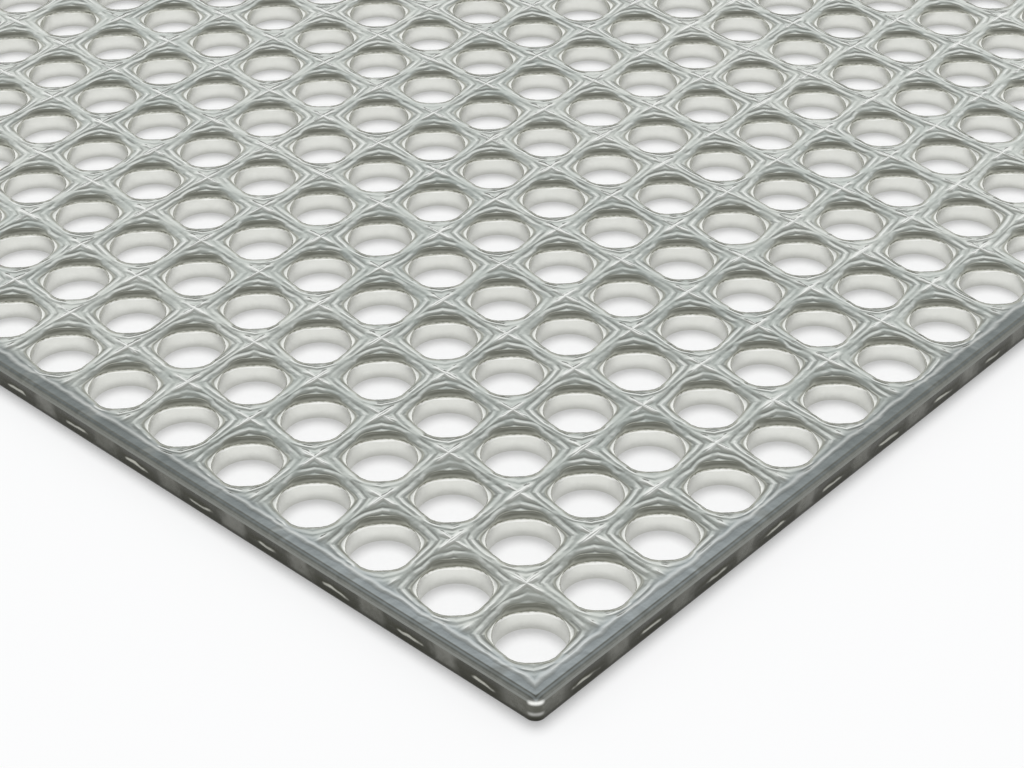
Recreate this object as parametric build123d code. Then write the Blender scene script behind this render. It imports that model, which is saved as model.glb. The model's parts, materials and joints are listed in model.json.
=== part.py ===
from build123d import *
import os

# A square sheet of steel, 150 mm a side, punched all over with round holes in straight rows.
# Millimetres, +Z up. The origin is on the underside, at the centre of the sheet.

# Driving dimensions
HOLE_DIAMETER = 7.3
BAR_WIDTH = 2.45         # metal left between two holes of a row, at its narrowest
HOLES_PER_SIDE = 15
EDGE_STRIP = 3.1         # metal between the outermost holes and the sheet's edge
THICKNESS = 3.0
CORNER_RADIUS = 1.2      # the sheet's four corners, in plan
TOP_ROLL = 0.6           # the outline is rolled over on top, where the shear came down
UNDER_ROLL = 0.3         # and only just broken on the underside

# Sizes that follow
PITCH = HOLE_DIAMETER + BAR_WIDTH
SIDE = (HOLES_PER_SIDE - 1) * PITCH + HOLE_DIAMETER + 2 * EDGE_STRIP


def rolled(plate, height, radius):
    """The plate with its outline rounded over on the face at this height."""
    rim = plate.edges().filter_by_position(Axis.Z, height, height)
    return fillet(rim, min(radius, 0.45 * THICKNESS, 0.9 * CORNER_RADIUS))


def blank():
    """The sheet before it is punched, a plain plate with its outline rolled over."""
    plate = extrude(RectangleRounded(SIDE, SIDE, CORNER_RADIUS), THICKNESS)
    return rolled(rolled(plate, THICKNESS, TOP_ROLL), 0, UNDER_ROLL)


def holes():
    """The round slugs that the punch takes out, in rows and columns parallel to the sides."""
    slug = Cylinder(HOLE_DIAMETER / 2, 3 * THICKNESS)
    return [place * slug for place in GridLocations(PITCH, PITCH, HOLES_PER_SIDE, HOLES_PER_SIDE)]


def perforated_sheet():
    """The finished sheet, one solid."""
    return blank() - holes()


os.makedirs("parts", exist_ok=True)
export_step(perforated_sheet(), "parts/perforated_sheet.step")
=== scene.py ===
import json
import logging
import math
from collections.abc import Iterable, Mapping, Sequence
from dataclasses import dataclass, field
from enum import Enum

import bpy
from mathutils import Matrix, Vector, noise


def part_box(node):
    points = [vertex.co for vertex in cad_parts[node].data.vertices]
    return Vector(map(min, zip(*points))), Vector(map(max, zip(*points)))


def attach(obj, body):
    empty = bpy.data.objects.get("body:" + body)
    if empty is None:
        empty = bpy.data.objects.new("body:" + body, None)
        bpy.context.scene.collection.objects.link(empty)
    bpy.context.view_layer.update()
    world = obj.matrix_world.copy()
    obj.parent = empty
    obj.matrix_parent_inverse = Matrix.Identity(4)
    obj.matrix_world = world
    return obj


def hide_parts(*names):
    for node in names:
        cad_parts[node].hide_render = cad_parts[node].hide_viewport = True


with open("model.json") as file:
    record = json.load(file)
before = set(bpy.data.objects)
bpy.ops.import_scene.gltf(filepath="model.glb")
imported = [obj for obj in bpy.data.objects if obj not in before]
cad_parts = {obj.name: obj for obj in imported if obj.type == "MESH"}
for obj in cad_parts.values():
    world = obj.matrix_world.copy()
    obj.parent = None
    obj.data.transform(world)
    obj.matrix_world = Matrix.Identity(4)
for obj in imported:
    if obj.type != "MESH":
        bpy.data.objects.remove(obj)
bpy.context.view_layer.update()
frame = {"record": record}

LOG = logging.getLogger("perforated_sheet")
Colour = tuple[float, float, float]
Span = tuple[float, float]
Spot = tuple[float, float]
# For each socket of a node, by name or number, the value that it holds or the signal that it takes.
Inputs = Mapping[str | int, object]

# All lengths are in metres.
MM = 0.001
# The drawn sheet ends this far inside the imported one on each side, so that rounding can't let it out.
SKIN = 0.001 * MM


def scaled(span: Span, size: float) -> Span:
    """A span that is given in shares of a size."""
    return span[0] * size, span[1] * size


def placed(name: str, data: bpy.types.ID) -> bpy.types.Object:
    """Puts an object into the scene.

    Args:
        name: its name.
        data: the mesh, lamp or camera that it holds.

    Returns:
        The object.
    """
    thing = bpy.data.objects.new(name, data)
    bpy.context.scene.collection.objects.link(thing)
    return thing


# --- writing shaders ---


class Signal:
    """What a node puts out, ready for sums: each operator adds the Math node that it stands for."""

    def __init__(self, kit: "NodeKit", socket: bpy.types.NodeSocket) -> None:
        self.kit = kit
        self.socket = socket

    def math(self, operation: str, first: "Signal | float", *rest: "Signal | float") -> "Signal":
        """The result of a Math node with this operation and, in order, these inputs."""
        return self.kit.out("ShaderNodeMath", dict(enumerate((first, *rest))), operation=operation)

    def __add__(self, other: "Signal | float") -> "Signal":
        """self + other."""
        return self.math("ADD", self, other)

    def __radd__(self, other: float) -> "Signal":
        """other + self."""
        return self.math("ADD", other, self)

    def __sub__(self, other: "Signal | float") -> "Signal":
        """self - other."""
        return self.math("SUBTRACT", self, other)

    def __rsub__(self, other: float) -> "Signal":
        """other - self."""
        return self.math("SUBTRACT", other, self)

    def __mul__(self, other: "Signal | float") -> "Signal":
        """self * other."""
        return self.math("MULTIPLY", self, other)

    def __rmul__(self, other: float) -> "Signal":
        """other * self."""
        return self.math("MULTIPLY", other, self)

    def __truediv__(self, other: "Signal | float") -> "Signal":
        """self / other."""
        return self.math("DIVIDE", self, other)

    def __pow__(self, other: "Signal | float") -> "Signal":
        """self ** other."""
        return self.math("POWER", self, other)

    def __neg__(self) -> "Signal":
        """-self."""
        return self * -1.0

    def __abs__(self) -> "Signal":
        """The size of self, without its sign."""
        return self.math("ABSOLUTE", self)

    def folded(self, half: float) -> "Signal":
        """How far self is from the nearest multiple of twice this half."""
        return self.math("PINGPONG", self, half)

    def wrapped(self, half: float) -> "Signal":
        """Self less the nearest multiple of twice this half, from -half to half."""
        return self.math("WRAP", self, half, -half)

    def held(self, limit: float) -> "Signal":
        """Self, kept between -limit and limit."""
        return self.smaller(limit).larger(-limit)

    def larger(self, other: "Signal | float") -> "Signal":
        """The larger of the two."""
        return self.math("MAXIMUM", self, other)

    def smaller(self, other: "Signal | float") -> "Signal":
        """The smaller of the two."""
        return self.math("MINIMUM", self, other)

    def line(self, middle: float, half_width: float) -> "Signal":
        """1 where self is middle, falling to 0 at half_width on both sides of it."""
        return 1 - abs(self - middle).step(0.0, half_width)

    def step(self, start: float, end: float) -> "Signal":
        """A smooth rise from 0, where self is start, to 1, where it is end."""
        inputs = {"Value": self, "From Min": start, "From Max": end}
        return self.kit.out("ShaderNodeMapRange", inputs, interpolation_type="SMOOTHSTEP", clamp=True)

    def mix(self, low: object, high: object) -> "Signal":
        """A colour that goes from low to high as self goes from 0 to 1."""
        node = self.kit.add("ShaderNodeMix", {0: self, 6: low, 7: high}, data_type="RGBA")
        return self.kit.read(node, 2)

    def parts(self) -> tuple["Signal", "Signal", "Signal"]:
        """The X, the Y and the Z of self, as coordinates."""
        node = self.kit.add("ShaderNodeSeparateXYZ", {0: self})
        return self.kit.read(node, 0), self.kit.read(node, 1), self.kit.read(node, 2)

    def stretched(self, scale: tuple[float, float, float]) -> "Signal":
        """Self as coordinates, each axis multiplied by its own scale."""
        return self.kit.out("ShaderNodeVectorMath", {0: self, 1: scale}, operation="MULTIPLY")

    def noise(self, scale: float, detail: float = 1.0) -> "Signal":
        """Cloudy noise from 0 to 1, laid out in self as coordinates, with so many finer layers."""
        inputs = {"Vector": self, "Scale": scale, "Detail": detail}
        return self.kit.out("ShaderNodeTexNoise", inputs, noise_dimensions="3D")

    def bump(self, distance: float, under: "Signal | None" = None) -> "Signal":
        """The normal of self as a height, which rises this distance at 1, laid over another normal."""
        inputs = {"Height": self, "Distance": distance, "Strength": 1.0}
        return self.kit.out("ShaderNodeBump", {**inputs, "Normal": under} if under else inputs)


class NodeKit:
    """Adds nodes to one tree and links them."""

    def __init__(self, owner: bpy.types.Material | bpy.types.World) -> None:
        """Turns on the nodes of a material or a world, and empties them."""
        owner.use_nodes = True
        self.tree = owner.node_tree
        self.tree.nodes.clear()

    def add(self, kind: str, inputs: Inputs | None = None, **settings: object) -> bpy.types.Node:
        """Adds a node of any kind.

        Args:
            kind: the node's type, as Blender names it.
            inputs: what the node is fed.
            settings: its own properties, which are set first.

        Returns:
            The new node.
        """
        node = self.tree.nodes.new(kind)
        for name, setting in settings.items():
            setattr(node, name, setting)
        for key, given in (inputs or {}).items():
            self._feed(node.inputs[key], given)
        return node

    def read(self, node: bpy.types.Node, output: str | int) -> Signal:
        """One output of a node as a signal."""
        return Signal(self, node.outputs[output])

    def out(self, kind: str, inputs: Inputs, **settings: object) -> Signal:
        """Adds a node, and reads its first output."""
        return self.read(self.add(kind, inputs, **settings), 0)

    def _feed(self, socket: bpy.types.NodeSocket, given: object) -> None:
        """Fills one socket.

        Args:
            socket: the socket.
            given: the signal that it takes, or the value that it holds.
        """
        if isinstance(given, Signal):
            self.tree.links.new(given.socket, socket)
        elif socket.type == "RGBA":
            socket.default_value = (*given, 1.0)
        else:
            socket.default_value = given


# --- the finishes ---


class Finish(Enum):
    """Which finish a face of the sheet has; the value is its place among the material slots."""

    FACE = 0
    BORE = 1
    SHEARED = 2
    UNDERSIDE = 3


@dataclass(frozen=True, kw_only=True)
class SteelFinish:
    """Bare steel, clouded and finely scratched."""

    name: str
    colour: Colour
    cloud_colour: Colour
    roughness: float
    roughness_spread: float
    cloud_size: float
    cloud_share: float = 0.65
    cloud_range: Span = (0.32, 0.68)
    mottles_per_cloud: float = 9
    ripple_size: float
    ripple_depth: float
    scratch_size: float
    scratch_depth: float
    scratch_stretch: float = 14

    def material(self) -> bpy.types.Material:
        """Builds the material.

        Returns:
            The material: clouded in colour and roughness, with ripples and scratches in its normal.
        """
        material = bpy.data.materials.new(self.name)
        kit = NodeKit(material)
        place = kit.read(kit.add("ShaderNodeTexCoord"), "Object")
        cloud = place.noise(1 / self.cloud_size, detail=4.0)
        mottle = place.noise(self.mottles_per_cloud / self.cloud_size, detail=3.0)
        shade = (cloud * self.cloud_share + mottle * (1 - self.cloud_share)).step(*self.cloud_range)
        clouded = shade.mix(self.colour, self.cloud_colour)
        inputs = {
            "Base Color": self.tinted(place, clouded),
            "Metallic": 1.0,
            "Roughness": self.roughness + self.roughness_spread * (shade - 0.5),
            "Normal": self._scratched(place, self.relief(place)),
        }
        kit.add("ShaderNodeOutputMaterial", {"Surface": kit.out("ShaderNodeBsdfPrincipled", inputs)})
        return material

    def tinted(self, place: Signal, clouded: Signal) -> Signal:
        """The clouded colour as it is; finishes with marks of their own lay them over it."""
        return clouded

    def relief(self, place: Signal) -> Signal:
        """The normal with soft ripples."""
        return place.noise(1 / self.ripple_size, detail=2.0).bump(self.ripple_depth)

    def _scratched(self, place: Signal, under: Signal) -> Signal:
        """Lays fine scratches, both ways, over the relief.

        Args:
            place: the coordinates.
            under: the relief's normal.

        Returns:
            The scratched normal.
        """
        fine = 1 / self.scratch_size
        drawn_out = fine / self.scratch_stretch
        along = place.stretched((fine, drawn_out, fine)).noise(1.0, detail=2.0)
        across = place.stretched((drawn_out, fine, fine)).noise(1.0, detail=2.0)
        return (along + across).bump(self.scratch_depth, under)

    def _drift(self, place: Signal, rate: float, detail: float = 1.0) -> Signal:
        """Noise from -0.5 to 0.5, whose rate is how often it repeats in a ripple's length."""
        return place.noise(rate / self.ripple_size, detail) - 0.5


@dataclass(frozen=True, kw_only=True)
class FormedFinish(SteelFinish):
    """A finish whose marks follow the sheet's form. Each corner has two painted glints: bright spots
    painted where the metal would catch a highlight.
    """

    form: "Relief"
    # Painted highlight: the colour of the glints painted at the corners.
    glint_colour: Colour = (0.96, 0.96, 0.93)
    glint_insets: Span = (1.3 * MM, 0.8 * MM)
    upper_spot_drop: float = 0.62 * MM
    upper_spot_reach: float = 0.42 * MM
    lower_spot_level: float = 1.0 * MM
    lower_spot_reach: float = 0.35 * MM
    lower_spot_share: float = 0.4

    def _painted_glints(self, place: Signal) -> Signal:
        """Finds the painted glints: two bright spots painted at each corner as highlights.

        Args:
            place: the coordinates.

        Returns:
            1 on the upper spot of each corner, less on the lower one and 0 elsewhere.
        """
        x, y, level = place.parts()
        start, end = (2 * self.form.half_side - inset for inset in self.glint_insets)
        upper = level.line(self.form.thickness - self.upper_spot_drop, self.upper_spot_reach)
        lower = level.line(self.lower_spot_level, self.lower_spot_reach) * self.lower_spot_share
        return (abs(x) + abs(y)).step(start, end) * upper.larger(lower)


@dataclass(frozen=True)
class CellPlace:
    """Where a place on the upper face lies among the holes.

    Attributes:
        place: its coordinates.
        from_middle: how far it is from the nearer of the sheet's two middle lines.
        from_margin: how far outside the square of cells it is, and below 0 how far inside.
        across: how far it is from its hole's centre along X.
        along: how far it is from its hole's centre along Y.
        slant: 0 towards the bars, 1 towards the front and back nodes and -1 towards those at the sides.
        beyond: how far outside its rim's crease it is.
        rim_share: which share of the rim's width it is inside the crease.
    """

    place: Signal
    from_middle: Signal
    from_margin: Signal
    across: Signal
    along: Signal
    slant: Signal
    beyond: Signal
    rim_share: Signal


@dataclass(frozen=True, kw_only=True)
class PunchedFaceFinish(FormedFinish):
    """The upper face: painted shade in the rolled rims with painted highlights on their lips and tips, a
    bluer painted sky reflection on the margin, painted dark reflection lines on the shoulder, painted
    corner glints, and ripples round every hole with painted highlights on their crests and painted shade
    in their hollows.

    Spans without a unit are shares: of half the sheet's side for margin_turn, of the rim's width for
    rim_range, lip_range and tip_range, of the slant for tip_slant, of the noise for faint_range and
    of a ripple's height for the others.
    """

    # Painted reflection: the margin's bluish tone stands in for the sky mirrored in the flat margin,
    # paler towards the corners.
    side_margin_reflection: Colour
    corner_margin_reflection: Colour
    margin_fade: Span = (-1.8 * MM, 0.1 * MM)
    margin_turn: Span = (0.2, 0.8)
    # Painted reflection: the dark lines painted along the shoulder.
    shoulder_shade_colour: Colour
    upper_line_inset: float = 0.62 * MM
    upper_line_reach: float = 0.16 * MM
    lower_line_fade: Span = (0.26 * MM, 0.40 * MM)
    # Painted highlight on the ripple crests and the crossing ridges, and painted shade in the ripple
    # hollows.
    crest_highlight_colour: Colour
    hollow_shade_colour: Colour
    crest_range: Span = (0.3, 1.0)
    hollow_range: Span = (0.1, 0.9)
    ring_height: float = 0.042 * MM
    ring_spacing: float = 0.85 * MM
    ring_drift_rate: float = 0.35
    first_ring: float = 0.50 * MM
    ring_fade: Span = (0.6 * MM, 1.6 * MM)
    ring_loss: float = 0.95
    ring_tint: float = 0.7
    faintest_ring: float = 0.4
    faint_range: Span = (0.38, 0.6)
    faint_rate: float = 0.7
    squareness: float = 0.45
    ridge_height: float = 0.12 * MM
    ridge_half_width: float = 0.46 * MM
    ridge_length: float = 2.4 * MM
    ridge_drift_rate: float = 0.5
    ridge_fade: Span = (-1.6 * MM, -0.4 * MM)
    border_ridge: float = 0.45
    wander: float = 0.8 * MM
    line_tint: float = 0.9
    outline_width: float = 0.36 * MM
    rim_clearance: float = 0.12 * MM
    # Painted shade on the rolled rims and their outlines; painted highlight on the lips and the side
    # tips.
    rim_shade_colour: Colour
    rim_range: Span = (0.0, 0.5)
    lip_highlight_colour: Colour
    lip_range: Span = (0.90, 0.97)
    tip_slant: Span = (0.45, 0.75)
    tip_range: Span = (0.15, 0.40)
    tip_tint: float = 0.72

    def tinted(self, place: Signal, clouded: Signal) -> Signal:
        """Lays the margin's painted reflection, the painted highlights and shade of the ripples and the
        crossing ridges, the shoulder's painted dark lines, the rims' painted shade and highlights and the
        painted corner glints over the clouded colour.

        Args:
            place: the coordinates.
            clouded: the colour under the marks.

        Returns:
            The marked colour.
        """
        cell = self._in_cell(place)
        ring = self._rings(cell)
        # The margin's painted sky reflection over the clouded colour.
        toned = cell.from_margin.step(*self.margin_fade).mix(clouded, self._margin(cell))
        # Painted shade in the ripples' hollows, then painted highlights on their crests and along the
        # crossing ridges.
        ring_shaded = ((-ring).step(*self.hollow_range) * self.ring_tint).mix(toned, self.hollow_shade_colour)
        highlighted = (ring.step(*self.crest_range) * self.ring_tint).mix(ring_shaded, self.crest_highlight_colour)
        crossed = (self._ridges(cell) * self.line_tint).mix(highlighted, self.crest_highlight_colour)
        # The shoulder's painted dark reflection lines.
        shaded = self._shoulder(cell).mix(crossed, self.shoulder_shade_colour)
        # The painted corner glints go over the painted rims.
        return self._painted_glints(place).mix(self._rimmed(cell, shaded), self.glint_colour)

    def relief(self, place: Signal) -> Signal:
        """Lays the ripples round the holes, and the ridges between them, over the soft ripples.

        Args:
            place: the coordinates.

        Returns:
            The normal.
        """
        cell = self._in_cell(place)
        clear = cell.beyond.step(0.0, self.rim_clearance)
        rings, ridges = self._rings(cell), self._ridges(cell)
        ringed = (rings * clear).bump(self.ring_height, super().relief(place))
        return (ridges * clear).bump(self.ridge_height, ringed)

    def _in_cell(self, place: Signal) -> CellPlace:
        """Finds where a place lies among the holes.

        Args:
            place: the coordinates.

        Returns:
            The place, as its own hole sees it.
        """
        half = self.form.pitch / 2
        border = self.form.last_row + half
        x, y, _ = place.parts()
        # Held just inside the border, past which the wrap would jump to another cell.
        across, along = (value.held(border - SKIN).wrapped(half) for value in (x, y))
        squared = across * across + along * along
        # The tiny addend keeps a hole's middle from dividing by 0.
        slant = across * along * 2 / (squared + 1e-9)
        width = self._rim_width(slant)
        beyond = squared**0.5 - self.form.bore - width
        from_middle, from_margin = abs(x).smaller(abs(y)), abs(x).larger(abs(y)) - border
        return CellPlace(place, from_middle, from_margin, across, along, slant, beyond, -beyond / width)

    def _rim_width(self, slant: Signal) -> Signal:
        """Works out how wide the rolled rim is, as the form's crease has it.

        Args:
            slant: the direction from the hole's centre.

        Returns:
            The width.
        """
        form = self.form
        nodeways, sideways = slant.larger(0.0), (-slant).larger(0.0)
        notched = (1 - (1 - nodeways) ** 2) * (1 - nodeways**form.notch_power * form.node_notch)
        return notched * form.node_roll + sideways**form.tip_power * form.side_roll + form.bar_roll

    def _margin(self, cell: CellPlace) -> Signal:
        """The margin's painted sky reflection, which pales towards the sheet's corners."""
        cornerwards = cell.from_middle.step(*scaled(self.margin_turn, self.form.half_side))
        return cornerwards.mix(self.side_margin_reflection, self.corner_margin_reflection)

    def _shoulder(self, cell: CellPlace) -> Signal:
        """Finds the two painted dark lines along the sheet's rounded shoulder: painted reflections of
        dark surroundings.

        Args:
            cell: where the place lies.

        Returns:
            1 on the upper line, nearly 1 on the lower one and 0 elsewhere.
        """
        from_side = self.form.margin - cell.from_margin
        lower = 1 - from_side.step(*self.lower_line_fade)
        return from_side.line(self.upper_line_inset, self.upper_line_reach).larger(lower * self.line_tint)

    def _rimmed(self, cell: CellPlace, under: Signal) -> Signal:
        """Lays the painted shade of the dark outline and the rolled rim, and the painted highlight of the
        bright lip, of each opening over a colour.

        Args:
            cell: where the place lies.
            under: the colour.

        Returns:
            The colour with the rims, whose tips at the two sides carry a painted highlight nearly as
            bright as the lip.
        """
        tip = (-cell.slant).step(*self.tip_slant)
        outline = cell.beyond.line(0.0, self.outline_width) * self.line_tint
        dark = (cell.rim_share.step(*self.rim_range) * (1 - tip)).larger(outline)
        bright_tip = cell.rim_share.step(*self.tip_range) * tip * self.tip_tint
        lip = cell.rim_share.step(*self.lip_range).larger(bright_tip)
        return lip.mix(dark.mix(under, self.rim_shade_colour), self.lip_highlight_colour)

    def _rings(self, cell: CellPlace) -> Signal:
        """Draws ripples that follow the rims and the bars' edges and die away from the holes.

        Args:
            cell: where the place lies.

        Returns:
            The ripples, from -1 to 1.
        """
        from_bar = abs(cell.across).larger(abs(cell.along)) - (self.form.bore + self.form.bar_roll)
        beyond = cell.beyond * (1 - self.squareness) + from_bar * self.squareness
        drift = self._drift(cell.place, self.ring_drift_rate) * self.wander
        turn = (beyond + drift - self.first_ring) * (2 * math.pi / self.ring_spacing)
        patches = cell.place.noise(self.faint_rate / self.ripple_size).step(*self.faint_range)
        strength = self.faintest_ring + (1 - self.faintest_ring) * patches
        return turn.math("COSINE", turn) * strength * (1 - beyond.step(*self.ring_fade) * self.ring_loss)

    def _ridges(self, cell: CellPlace) -> Signal:
        """Draws ridges that cross at the nodes, and a fainter one round the outermost cells.

        Args:
            cell: where the place lies.

        Returns:
            The ridges, from 0 to 1.
        """
        half = self.form.pitch / 2
        drift = self._drift(cell.place, self.ridge_drift_rate) * self.wander
        one, other = half - abs(cell.across) + drift, half - abs(cell.along) - drift
        start, end = self.ridge_length / 2, self.ridge_length
        first = one.line(0.0, self.ridge_half_width) * (1 - other.step(start, end))
        second = other.line(0.0, self.ridge_half_width) * (1 - one.step(start, end))
        crossing = first.larger(second) * (1 - cell.from_margin.step(*self.ridge_fade))
        border = (cell.from_margin + drift).line(0.0, self.ridge_half_width)
        return crossing.larger(border * self.border_ridge)


@dataclass(frozen=True, kw_only=True)
class ShearedFinish(FormedFinish):
    """A sheared side: in line with each hole a hollow with painted shade over it and a painted highlight
    streak in it, and painted shade along its foot.

    Spans without a unit are shares of half the pitch, from a hole's middle.
    """

    # Painted shade in the hollows and along the foot; painted highlight in the streaks.
    hollow_shade_colour: Colour
    hollow_fade: Span = (0.54, 0.88)
    hollow_wander: float = 0.5
    hollow_tint: float = 0.9
    row_fade: Span = (0.30, 0.80)
    foot_fade: Span = (0.35 * MM, 0.85 * MM)
    foot_tint: float = 0.85
    streak_highlight_colour: Colour
    streak_level: float = 1.1 * MM
    streak_reach: float = 0.30 * MM
    streak_slope: float = 0.6 * MM
    slope_rate: float = 0.6
    streak_fade: Span = (0.16, 0.46)
    streak_contrast: Span = (0.1, 0.9)
    side_change: Span = (-0.01 * MM, 0.01 * MM)

    def tinted(self, place: Signal, clouded: Signal) -> Signal:
        """Lays the painted shade of the hollows and of the foot, and the painted highlight streaks, over
        the clouded colour.

        Args:
            place: the coordinates.
            clouded: the colour under the marks.

        Returns:
            The marked colour.
        """
        half = self.form.pitch / 2
        x, y, level = place.parts()
        along = x + (y - x) * (abs(x) - abs(y)).step(*self.side_change)
        near_row = 1 - (abs(along) - self.form.last_row).step(*scaled(self.row_fade, half))
        wander = self._drift(place, 1.0, detail=2.0) * self.hollow_wander * half
        from_hole = abs(along).folded(half) + wander
        # Painted shade: a dark patch over each hollow, in line with the holes.
        hollow = (1 - from_hole.step(*scaled(self.hollow_fade, half))) * near_row
        # Painted shade: darker along the foot of the side.
        foot = 1 - level.step(*self.foot_fade)
        dark = (hollow * self.hollow_tint).larger(foot * self.foot_tint)
        # Painted highlight: a bright streak across each hollow.
        sloping = level + self._drift(place, self.slope_rate) * self.streak_slope
        middle = 1 - from_hole.step(*scaled(self.streak_fade, half))
        streak = (middle * sloping.line(self.streak_level, self.streak_reach)).step(*self.streak_contrast)
        streaked = (streak * near_row).mix(dark.mix(clouded, self.hollow_shade_colour), self.streak_highlight_colour)
        # The painted corner glints go over the side's painted shade and streaks.
        return self._painted_glints(place).mix(streaked, self.glint_colour)


def finishes_for(form: "Relief") -> dict[Finish, SteelFinish]:
    """Lists the sheet's finishes.

    Args:
        form: the upper face's relief, which the face's marks and the sides' hollows follow.

    Returns:
        One finish for each kind of face.
    """
    return {
        Finish.FACE: PunchedFaceFinish(
            name="steel_face",
            colour=(0.56, 0.60, 0.575),
            cloud_colour=(0.71, 0.735, 0.70),
            roughness=0.16,
            roughness_spread=0.07,
            cloud_size=24 * MM,
            ripple_size=1.3 * MM,
            ripple_depth=0.045 * MM,
            scratch_size=0.16 * MM,
            scratch_depth=0.001 * MM,
            form=form,
            # Painted shade on the rims, painted highlight on the lips.
            rim_shade_colour=(0.40, 0.405, 0.355),
            lip_highlight_colour=(0.95, 0.95, 0.92),
            # Painted dark reflection lines on the shoulder.
            shoulder_shade_colour=(0.21, 0.215, 0.195),
            # Painted sky reflection on the margin.
            side_margin_reflection=(0.25, 0.275, 0.275),
            corner_margin_reflection=(0.46, 0.50, 0.515),
            # Painted highlight on the crests and ridges, painted shade in the ripple hollows.
            crest_highlight_colour=(0.97, 0.98, 0.96),
            hollow_shade_colour=(0.34, 0.35, 0.33),
        ),
        Finish.BORE: SteelFinish(
            name="punched_bore",
            colour=(0.765, 0.77, 0.725),
            cloud_colour=(0.82, 0.825, 0.785),
            roughness=0.20,
            roughness_spread=0.06,
            cloud_size=8 * MM,
            ripple_size=1.2 * MM,
            ripple_depth=0.02 * MM,
            scratch_size=0.12 * MM,
            scratch_depth=0.002 * MM,
        ),
        Finish.SHEARED: ShearedFinish(
            name="sheared_edge",
            colour=(0.105, 0.105, 0.088),
            cloud_colour=(0.19, 0.19, 0.17),
            roughness=0.28,
            roughness_spread=0.12,
            cloud_size=7 * MM,
            ripple_size=1.4 * MM,
            ripple_depth=0.06 * MM,
            scratch_size=0.14 * MM,
            scratch_depth=0.003 * MM,
            form=form,
            # Painted shade in the side's hollows and painted highlight in its streaks.
            hollow_shade_colour=(0.05, 0.05, 0.038),
            streak_highlight_colour=(0.46, 0.46, 0.41),
        ),
        Finish.UNDERSIDE: SteelFinish(
            name="steel_underside",
            colour=(0.50, 0.51, 0.50),
            cloud_colour=(0.60, 0.60, 0.585),
            roughness=0.30,
            roughness_spread=0.10,
            cloud_size=20 * MM,
            ripple_size=2.0 * MM,
            ripple_depth=0.02 * MM,
            scratch_size=0.18 * MM,
            scratch_depth=0.003 * MM,
        ),
    }


# --- the sheet ---


class Sketch:
    """Points and faces gathered for one mesh. A point that is asked for twice is kept once."""

    # The spacing of the grid that points are told apart on.
    GRAIN = 5e-6

    def __init__(self) -> None:
        """Starts empty."""
        self.points: list[Vector] = []
        self.faces: list[tuple[int, ...]] = []
        self.finishes: list[int] = []
        self._known: dict[tuple[int, int, int], int] = {}

    def point(self, place: Vector) -> int:
        """Finds the point at a place, or adds it.

        Args:
            place: where it is.

        Returns:
            The point's number.
        """
        key = (round(place.x / self.GRAIN), round(place.y / self.GRAIN), round(place.z / self.GRAIN))
        if key not in self._known:
            self._known[key] = len(self.points)
            self.points.append(place)
        return self._known[key]

    def band(self, inner: Sequence[int], outer: Sequence[int], finish: Finish) -> None:
        """Closes the gap between two rows of points with faces.

        Args:
            inner: the first row. Seen from outside the metal with the first row nearest, its points run
                to the left.
            outer: the second row, with as many points.
            finish: the finish of the faces.
        """
        for near, far, beyond, back in zip(inner, outer, outer[1:], inner[1:]):
            corners = tuple(dict.fromkeys((near, far, beyond, back)))
            if len(corners) > 2:
                self.faces.append(corners)
                self.finishes.append(finish.value)

    def mesh(self, name: str, sharp_above: float) -> bpy.types.Mesh:
        """Makes the mesh.

        Args:
            name: the mesh's name.
            sharp_above: faces that meet at a greater angle than this, in degrees, meet in a crisp edge.

        Returns:
            The mesh, smooth elsewhere.
        """
        mesh = bpy.data.meshes.new(name)
        mesh.from_pydata(self.points, [], self.faces)
        mesh.polygons.foreach_set("material_index", self.finishes)
        mesh.polygons.foreach_set("use_smooth", [True] * len(self.faces))
        mesh.set_sharp_from_angle(angle=math.radians(sharp_above))
        mesh.update()
        return mesh


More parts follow.
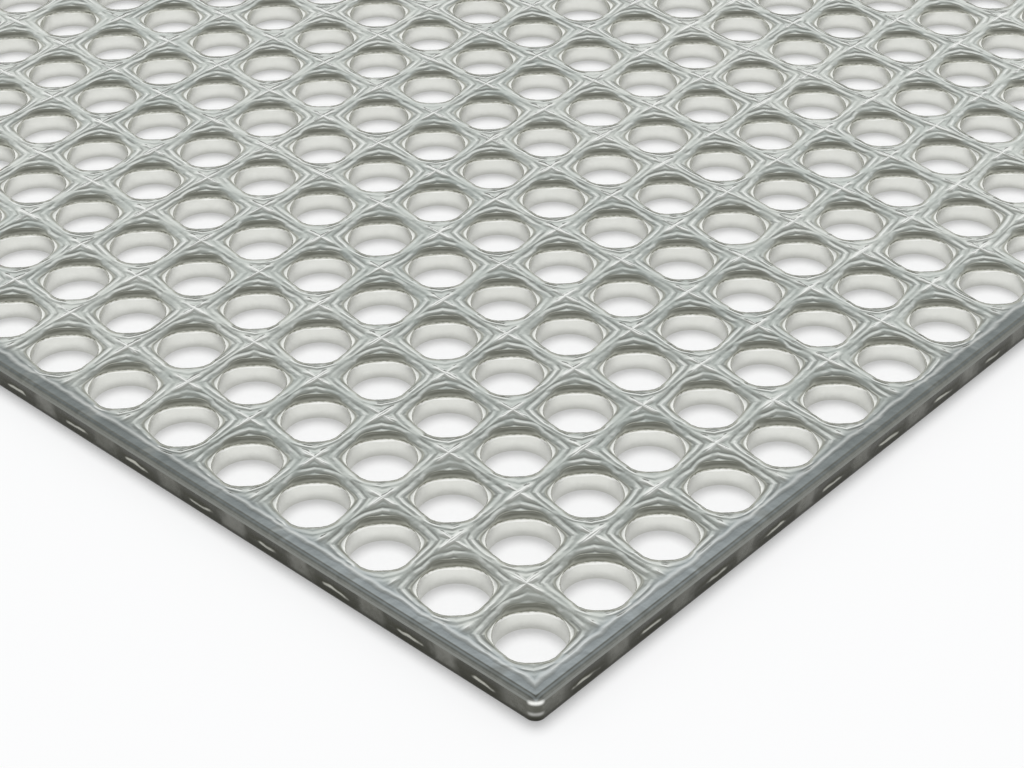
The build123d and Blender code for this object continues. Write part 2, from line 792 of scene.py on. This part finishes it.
@dataclass
class Relief:
    """The rise and fall of the sheet's upper face round the holes that were punched in it.

    Bars are the strips between neighbouring holes, and nodes are where bars cross. Seen from a hole,
    the front and back nodes lie on one diagonal and the side nodes on the other.
    """

    thickness: float
    pitch: float
    bore: float
    last_row: float
    half_side: float
    bar_roll: float = 0.10 * MM
    node_roll: float = 0.60 * MM
    node_notch: float = 0.45
    notch_power: int = 8
    side_roll: float = 0.46 * MM
    tip_power: int = 6
    bar_depth: float = 0.58 * MM
    node_depth: float = 0.30 * MM
    node_depth_power: int = 4
    side_lift: float = 0.40 * MM
    dish_depth: float = 0.24 * MM
    dish_reach: float = 2.2 * MM
    dish_power: float = 1.25
    crest_height: float = 0.03 * MM
    crest_width: float = 0.45 * MM
    outer_crest_share: float = 0.6
    groove_depth: float = 0.025 * MM
    groove_width: float = 0.30 * MM
    groove_inset: float = 1.1 * MM
    waver_height: float = 0.03 * MM
    waver_size: float = 2.4 * MM
    margin: float = field(init=False)

    def __post_init__(self) -> None:
        """Works out how wide the strip outside the outermost cells is."""
        self.margin = self.half_side - self.last_row - self.pitch / 2

    def height(self, x: float, y: float) -> float:
        """Works out how high the upper face is.

        Args:
            x: the place along X.
            y: the place along Y.

        Returns:
            The height over the underside.
        """
        across, along = self._from_hole(x), self._from_hole(y)
        crest = self.crest_height * max(self._crest(x, across), self._crest(y, along))
        waver = self.waver_height * (noise.noise(Vector((x, y, 0.0)) / self.waver_size) - 1)
        sunk = self._dish(math.hypot(across, along)) + self._rim(across, along)
        return self.thickness - self.crest_height + crest + waver - sunk

    def crease(self, across: float, along: float) -> float:
        """Works out how far from its hole's centre the rim starts to fall, in the direction of a place.

        Args:
            across: where the place is from the centre along X.
            along: where it is along Y.

        Returns:
            The distance: most towards the nodes and least towards the bars.
        """
        slant = self._slant(across, along)
        if slant > 0:
            notch = self.node_notch * slant**self.notch_power
            wider = self.node_roll * (1 - (1 - slant) ** 2) * (1 - notch)
        else:
            wider = self.side_roll * slant**self.tip_power
        return self.bore + self.bar_roll + wider

    def _slant(self, across: float, along: float) -> float:
        """0 towards the bars, 1 towards the front and back nodes and -1 towards those at the sides."""
        return 2 * across * along / (across * across + along * along)

    def _from_hole(self, value: float) -> float:
        """How far a place is from its hole's centre, along one axis."""
        row = min(self.last_row, max(-self.last_row, round(value / self.pitch) * self.pitch))
        return value - row

    def _crest(self, value: float, offset: float) -> float:
        """1 on the middle line of a bar, less on the line round the outermost cells, 0 away from both."""
        fall = math.exp(-(((self.pitch / 2 - abs(offset)) / self.crest_width) ** 2))
        return self.outer_crest_share * fall if abs(value) > self.last_row else fall

    def _dish(self, radius: float) -> float:
        """How far the face is drawn down towards the hole."""
        reach = max(0.0, radius - self.bore) / self.dish_reach
        return self.dish_depth * max(0.0, 1 - reach) ** self.dish_power

    def _rim(self, across: float, along: float) -> float:
        """Works out how far the rim of the hole is rolled down.

        Args:
            across: where the place is from the hole's centre along X.
            along: where it is along Y.

        Returns:
            The depth, which is 0 outside the crease.
        """
        crease, slant = self.crease(across, along), self._slant(across, along)
        share = (crease - math.hypot(across, along)) / (crease - self.bore)
        if share <= 0:
            return 0.0
        if slant > 0:
            depth = self.bar_depth + self.node_depth * slant**self.node_depth_power
        else:
            depth = self.bar_depth - self.side_lift * (1 - (1 + slant) ** 2)
        return depth * (1 - math.sqrt(max(0.0, 1 - min(1.0, share) ** 2)))


@dataclass
class PunchedCell:
    """The square of sheet round one hole, up to the middle lines of the bars."""

    relief: Relief
    column: float
    row: float
    under_roll: float = 0.06 * MM
    directions: int = 32
    border_insets: Sequence[float] = (0.0, 0.26 * MM)
    crease_distances: Sequence[float] = (0.42 * MM, 0.20 * MM)
    rim_shares: Sequence[float] = (1.0, 0.60, 0.30, 0.095, 0.0)

    def build(self, sketch: Sketch) -> None:
        """Adds the cell's upper face, rim, bore and underside.

        Args:
            sketch: where its points and faces go.
        """
        half, bore = self.relief.pitch / 2, self.relief.bore
        squares = [self._square(half - inset) for inset in self.border_insets]
        outside = [self._around(1.0, distance) for distance in self.crease_distances]
        rims = [self._around(share) for share in self.rim_shares]
        between = [((a + c) / 2, (b + d) / 2) for (a, b), (c, d) in zip(squares[-1], outside[0])]
        tops = (*squares, between, *outside, *rims)
        rings = [(self._top_row(sketch, spots), Finish.FACE) for spots in tops]
        rings += [
            (self._flat_row(sketch, self._circle(bore), self.under_roll), Finish.BORE),
            (self._flat_row(sketch, self._circle(bore + self.under_roll)), Finish.BORE),
            (self._flat_row(sketch, self._square(half)), Finish.UNDERSIDE),
        ]
        for (outer, _), (inner, finish) in zip(rings, rings[1:]):
            sketch.band(inner, outer, finish)

    def _headings(self) -> list[Spot]:
        """The unit vectors of the cell's directions, back to the first one."""
        turns = [2 * math.pi * step / self.directions for step in (*range(self.directions), 0)]
        return [(math.cos(turn), math.sin(turn)) for turn in turns]

    def _ring(self, distances: Iterable[float]) -> list[Spot]:
        """A spot in each of the cell's directions, at its own distance from the hole's centre."""
        return [(distance * x, distance * y) for distance, (x, y) in zip(distances, self._headings())]

    def _square(self, half: float) -> list[Spot]:
        """A square of this half width."""
        return self._ring(half / max(abs(x), abs(y)) for x, y in self._headings())

    def _circle(self, radius: float) -> list[Spot]:
        """A circle of this radius."""
        return self._ring(radius for _ in self._headings())

    def _around(self, share: float, beyond: float = 0.0) -> list[Spot]:
        """A ring at a share of the way from the bore to the rim's crease, or so far beyond that."""
        bore, crease = self.relief.bore, self.relief.crease
        return self._ring(bore + share * (crease(x, y) - bore) + beyond for x, y in self._headings())

    def _top_row(self, sketch: Sketch, spots: Sequence[Spot]) -> list[int]:
        """Points on the upper face, at spots round the hole's centre."""
        places = [(self.column + x, self.row + y) for x, y in spots]
        return [sketch.point(Vector((x, y, self.relief.height(x, y)))) for x, y in places]

    def _flat_row(self, sketch: Sketch, spots: Sequence[Spot], height: float = 0.0) -> list[int]:
        """Points at one level, at spots round the hole's centre."""
        return [sketch.point(Vector((self.column + x, self.row + y, height))) for x, y in spots]


@dataclass
class SheetEdge:
    """The strip outside the outermost holes, with its rolled shoulder and its sheared side."""

    relief: Relief
    inner: float
    outer: float
    corner_radius: float = 1.2 * MM
    corner_steps: int = 8
    row_end: float = 0.4
    inset_marks: Sequence[float] = (0.20, 0.45, 0.70, 0.95, 1.15)
    shoulder: float = 0.60 * MM
    shoulder_steps: int = 6
    side_levels_mm: Sequence[float] = (2.2, 1.9, 1.65, 1.45, 1.3, 1.15, 1.0, 0.8, 0.5)
    hollow_depth: float = 0.16 * MM
    hollow_level: float = 1.35 * MM
    hollow_reach: float = 0.75 * MM
    rib_height: float = 0.13 * MM
    rib_level: float = 1.15 * MM
    rib_reach: float = 0.20 * MM
    under_roll: float = 0.30 * MM
    under_steps: int = 2

    def build(self, sketch: Sketch, stations: Sequence[float]) -> None:
        """Adds the strip all round the sheet.

        Args:
            sketch: where its points and faces go.
            stations: the places along a side at which the cells' borders have points.
        """
        path = self._path(stations)
        profiles = [[sketch.point(spot) for spot in self._profile(*place)] for place in path]
        profiles.append(profiles[0])
        finishes = self._finishes(len(profiles[0]) - 1)
        for before, after in zip(profiles, profiles[1:]):
            for step, finish in enumerate(finishes):
                sketch.band(after[step : step + 2], before[step : step + 2], finish)

    def _path(self, stations: Sequence[float]) -> list[tuple[Vector, Vector, float, float]]:
        """Lists the places round the sheet at which its section is drawn.

        Args:
            stations: the places along a side.

        Returns:
            For each place its foot, the outward direction, how far the side reaches from the foot, and
            how nearly it is in line with a hole, from 0 to 1.
        """
        reach, round_off = self.outer - self.inner, self.corner_radius
        path = []
        for quarter in range(4):
            turn = Matrix.Rotation(math.pi / 2 * quarter, 3, "Z")
            for station in stations:
                foot = turn @ Vector((self.inner, station, 0.0))
                path.append((foot, turn @ Vector((1.0, 0.0, 0.0)), reach, self._in_line(station)))
            centre = Vector((self.outer - round_off, self.outer - round_off, 0.0))
            corner = Vector((self.inner, self.inner, 0.0))
            for step in range(self.corner_steps + 1):
                angle = math.pi / 2 * step / self.corner_steps
                rim = centre + round_off * Vector((math.cos(angle), math.sin(angle), 0.0))
                way = rim - corner
                path.append((turn @ corner, turn @ way.normalized(), way.length, 0.0))
        return path

    def _in_line(self, station: float) -> float:
        """1 in line with a hole, 0 in line with a bar and near the corners."""
        outside = abs(station) > self.relief.last_row + self.row_end * self.relief.pitch
        return 0.0 if outside else 0.5 + 0.5 * math.cos(2 * math.pi * station / self.relief.pitch)

    def _profile(self, foot: Vector, outward: Vector, reach: float, in_line: float) -> list[Vector]:
        """Draws the strip's section at one place.

        Args:
            foot: where the section starts, on the underside.
            outward: the direction from there to the side.
            reach: how far off the side is.
            in_line: how nearly the place is in line with a hole, from 0 to 1.

        Returns:
            Its points, from the upper face over the shoulder, down the side and back to the foot.
        """
        level = self.relief.thickness - self.relief.crest_height
        flat = reach - self.shoulder
        section = self._inset(self.relief.height(foot.x, foot.y), level, reach)
        for step in range(1, self.shoulder_steps + 1):
            turn = math.pi / 2 * step / self.shoulder_steps
            out = flat + self.shoulder * math.sin(turn)
            section.append((out, level - self.shoulder * (1 - math.cos(turn))))
        section += [(reach - self._drawn(mark * MM, in_line), mark * MM) for mark in self.side_levels_mm]
        for step in range(self.under_steps + 1):
            turn = math.pi / 2 * step / self.under_steps
            out = reach - self.under_roll * (1 - math.cos(turn))
            section.append((out, self.under_roll * (1 - math.sin(turn))))
        section.append((0.0, 0.0))
        return [foot + outward * out + Vector((0.0, 0.0, height)) for out, height in section]

    def _inset(self, top: float, level: float, reach: float) -> list[Spot]:
        """Draws the part of a section that lies between the cells and the shoulder.

        Args:
            top: the height at the cells' border.
            level: the height that the face settles to.
            reach: how far off the side is.

        Returns:
            The distance outwards and the height of each of its points.
        """
        relief = self.relief
        section = [(0.0, top)]
        for mark in self.inset_marks:
            out = (reach - self.shoulder) * (mark / self.inset_marks[-1])
            groove = math.exp(-(((reach - out - relief.groove_inset) / relief.groove_width) ** 2))
            ease = math.exp(-((out / relief.crest_width) ** 2))
            section.append((out, level + (top - level) * ease - relief.groove_depth * groove))
        return section

    def _drawn(self, height: float, in_line: float) -> float:
        """Works out how far the side is drawn in: hollow, with a short rib along the hollow's middle.

        Args:
            height: the level on the side.
            in_line: how nearly the place is in line with a hole, from 0 to 1.

        Returns:
            The depth.
        """
        hollow = math.exp(-(((height - self.hollow_level) / self.hollow_reach) ** 2))
        rib = math.exp(-(((height - self.rib_level) / self.rib_reach) ** 2))
        return self.hollow_depth * hollow * in_line - self.rib_height * rib * in_line**3

    def _finishes(self, count: int) -> list[Finish]:
        """The finish of each of a section's bands, from the upper face to the underside."""
        face = len(self.inset_marks) + self.shoulder_steps
        return [Finish.FACE] * face + [Finish.SHEARED] * (count - face - 1) + [Finish.UNDERSIDE]


@dataclass
class PerforatedSheet:
    """The whole sheet, as one piece."""

    side: float
    thickness: float
    bore: float
    pitch: float
    holes_per_side: int
    sharp_above: float = 38.0
    relief: Relief = field(init=False)
    piece: bpy.types.Object | None = field(default=None, init=False)

    @classmethod
    def from_frame(cls) -> "PerforatedSheet":
        """Takes the sheet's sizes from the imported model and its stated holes.

        Returns:
            The sheet, not yet built.
        """
        low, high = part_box("perforated_sheet")
        patterns = {mount["name"]: mount["dims"] for mount in frame["record"]["mounts"]}
        pitch = patterns["centre_square_holes"]["spacing_x_mm"] / 2 * MM
        span = patterns["outer_corner_holes"]["spacing_x_mm"] * MM
        return cls(
            side=high[0] - low[0] - 2 * SKIN,
            thickness=high[2] - low[2],
            bore=patterns["outer_corner_holes"]["hole_r_mm"] * MM,
            pitch=pitch,
            holes_per_side=round(span / pitch) + 1,
        )

    def __post_init__(self) -> None:
        """Works out the relief of the upper face."""
        last_row = (self.holes_per_side - 1) / 2 * self.pitch
        self.relief = Relief(self.thickness, self.pitch, self.bore, last_row, self.side / 2)

    def build(self) -> None:
        """Makes the mesh and puts it in the place of the plain solid."""
        sketch = Sketch()
        relief, last_row = self.relief, self.relief.last_row
        cells = [
            PunchedCell(relief, column * self.pitch - last_row, row * self.pitch - last_row)
            for column in range(self.holes_per_side)
            for row in range(self.holes_per_side)
        ]
        for cell in cells:
            cell.build(sketch)
        edge = SheetEdge(relief, last_row + self.pitch / 2, relief.half_side)
        edge.build(sketch, self._stations(cells[0].directions))
        mesh = sketch.mesh("perforated_sheet_dressed", self.sharp_above)
        self.piece = placed(mesh.name, mesh)
        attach(self.piece, "root")
        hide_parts("perforated_sheet")

    def dress(self) -> None:
        """Gives the sheet its finishes."""
        finishes = finishes_for(self.relief)
        for finish in Finish:
            self.piece.data.materials.append(finishes[finish].material())

    def _stations(self, directions: int) -> list[float]:
        """Lists the places along a side at which the outer cells have border points.

        Args:
            directions: how many directions a cell is drawn in.

        Returns:
            The places, each once.
        """
        half, last_row, eighth = self.pitch / 2, self.relief.last_row, directions // 8
        steps = [half * math.tan(2 * math.pi * step / directions) for step in range(-eighth, eighth)]
        centres = [hole * self.pitch - last_row for hole in range(self.holes_per_side)]
        return [*(centre + step for centre in centres for step in steps), last_row + half]


# --- the studio ---


@dataclass
class Studio:
    """A pale floor, a soft lamp behind the sheet and a bright room round it."""

    floor_colour: Colour = (0.93, 0.935, 0.94)
    floor_glow: float = 0.33
    floor_half: float = 2.0
    floor_drop: float = 0.01 * MM
    lamp_elevation: float = 67.0
    lamp_azimuth: float = 45.0
    lamp_spread: float = 34.0
    lamp_strength: float = 2.0
    room_level: float = 0.45
    sky: Sequence[tuple[float, Colour]] = (
        (0.0, (0.95, 0.95, 0.95)),
        (0.30, (1.00, 1.00, 0.99)),
        (0.45, (0.92, 0.93, 0.92)),
        (0.58, (0.74, 0.75, 0.74)),
        (0.69, (0.56, 0.57, 0.565)),
        (0.80, (0.42, 0.425, 0.41)),
        (1.0, (0.36, 0.36, 0.34)),
    )
    front_colour: Colour = (0.25, 0.25, 0.235)
    front_fade: Span = (-0.2, 0.5)
    front_shade: float = 0.5

    def build(self) -> None:
        """Makes the floor, the lamp and the room."""
        self._floor()
        self._lamp()
        self._room()

    def _floor(self) -> None:
        """A level floor, just under the sheet."""
        mesh = bpy.data.meshes.new("floor")
        half = self.floor_half
        corners = [(-half, -half, 0), (half, -half, 0), (half, half, 0), (-half, half, 0)]
        mesh.from_pydata(corners, [], [(0, 1, 2, 3)])
        mesh.materials.append(self._paper())
        floor = placed("floor", mesh)
        floor.location.z = -self.floor_drop

    def _paper(self) -> bpy.types.Material:
        """Builds the floor's material.

        Returns:
            Matt paper, with a share of plain white for the eye and for mirrored rays.
        """
        material = bpy.data.materials.new("floor_paper")
        kit = NodeKit(material)
        paper = kit.out("ShaderNodeBsdfDiffuse", {"Color": self.floor_colour})
        white = kit.out("ShaderNodeEmission", {"Color": (1.0, 1.0, 1.0), "Strength": 1.0})
        path = kit.add("ShaderNodeLightPath")
        seen = kit.read(path, "Is Camera Ray").larger(kit.read(path, "Is Glossy Ray")) * self.floor_glow
        both = kit.out("ShaderNodeMixShader", {0: seen, 1: paper, 2: white})
        kit.add("ShaderNodeOutputMaterial", {"Surface": both})
        return material

    def _lamp(self) -> None:
        """A wide soft lamp behind the sheet, which the metal doesn't mirror."""
        data = bpy.data.lights.new("lamp", "SUN")
        data.energy = self.lamp_strength
        data.angle = math.radians(self.lamp_spread)
        lamp = placed("lamp", data)
        elevation, azimuth = math.radians(self.lamp_elevation), math.radians(self.lamp_azimuth)
        level = Vector((math.cos(azimuth), math.sin(azimuth), 0.0))
        towards = level * math.cos(elevation) + Vector((0.0, 0.0, math.sin(elevation)))
        lamp.rotation_euler = towards.to_track_quat("Z", "Y").to_euler()
        lamp.visible_glossy = False

    def _room(self) -> None:
        """A room that is bright low down, and darker overhead and in front where the metal mirrors it."""
        world = bpy.data.worlds.new("room")
        kit = NodeKit(world)
        x, y, up = kit.read(kit.add("ShaderNodeTexCoord"), "Generated").parts()
        front = (x + y) * -math.sqrt(0.5)
        in_front = front.step(*self.front_fade) * self.front_shade
        shaded = in_front.mix(self._overhead(kit, up), self.front_colour)
        sky = kit.out("ShaderNodeBackground", {"Color": shaded, "Strength": 1.0})
        plain = kit.out("ShaderNodeBackground", {"Color": (self.room_level,) * 3, "Strength": 1.0})
        path = kit.add("ShaderNodeLightPath")
        off_paper = kit.read(path, "Diffuse Depth").step(0.0, 1.0)
        mirrored = kit.read(path, "Is Glossy Ray") * (1 - off_paper)
        both = kit.out("ShaderNodeMixShader", {0: mirrored, 1: plain, 2: sky})
        kit.add("ShaderNodeOutputWorld", {"Surface": both})
        bpy.context.scene.world = world

    def _overhead(self, kit: NodeKit, up: Signal) -> Signal:
        """Builds the sky's colours.

        Args:
            kit: where its nodes go.
            up: how far up a direction points, as a share of straight up.

        Returns:
            The colour in that direction.
        """
        node = kit.add("ShaderNodeValToRGB", {"Fac": up})
        stops = node.color_ramp.elements
        while len(stops) < len(self.sky):
            stops.new(1.0)
        for stop, (share, colour) in zip(stops, self.sky):
            stop.position = share
            stop.color = (*colour, 1.0)
        return kit.read(node, 0)


@dataclass
class Viewpoint:
    """The camera, over the sheet's front corner."""

    place: tuple[float, float, float] = (-0.1947, -0.1820, 0.1582)
    aim: tuple[float, float, float] = (-0.0406, -0.0408, 0.0030)
    roll: float = -0.0082
    lens: float = 85.9
    sensor: float = 36.0
    nearest: float = 0.01
    farthest: float = 20.0

    def build(self) -> None:
        """Makes the camera."""
        data = bpy.data.cameras.new("camera")
        data.lens = self.lens
        data.sensor_width = self.sensor
        data.clip_start = self.nearest
        data.clip_end = self.farthest
        camera = placed("camera", data)
        gaze = Vector(self.aim) - Vector(self.place)
        level = gaze.to_track_quat("-Z", "Y").to_matrix().to_4x4()
        camera.matrix_world = Matrix.Translation(self.place) @ level @ Matrix.Rotation(self.roll, 4, "Z")
        bpy.context.scene.camera = camera


def main() -> None:
    """Builds the sheet, the studio and the camera."""
    logging.basicConfig(level=logging.INFO, format="%(name)s: %(message)s")
    sheet = PerforatedSheet.from_frame()
    sheet.build()
    sheet.dress()
    LOG.info("%s: %d faces", sheet.piece.name, len(sheet.piece.data.polygons))
    Studio().build()
    Viewpoint().build()
    bpy.context.scene.view_settings.view_transform = "Standard"


if __name__ == "__main__":
    main()
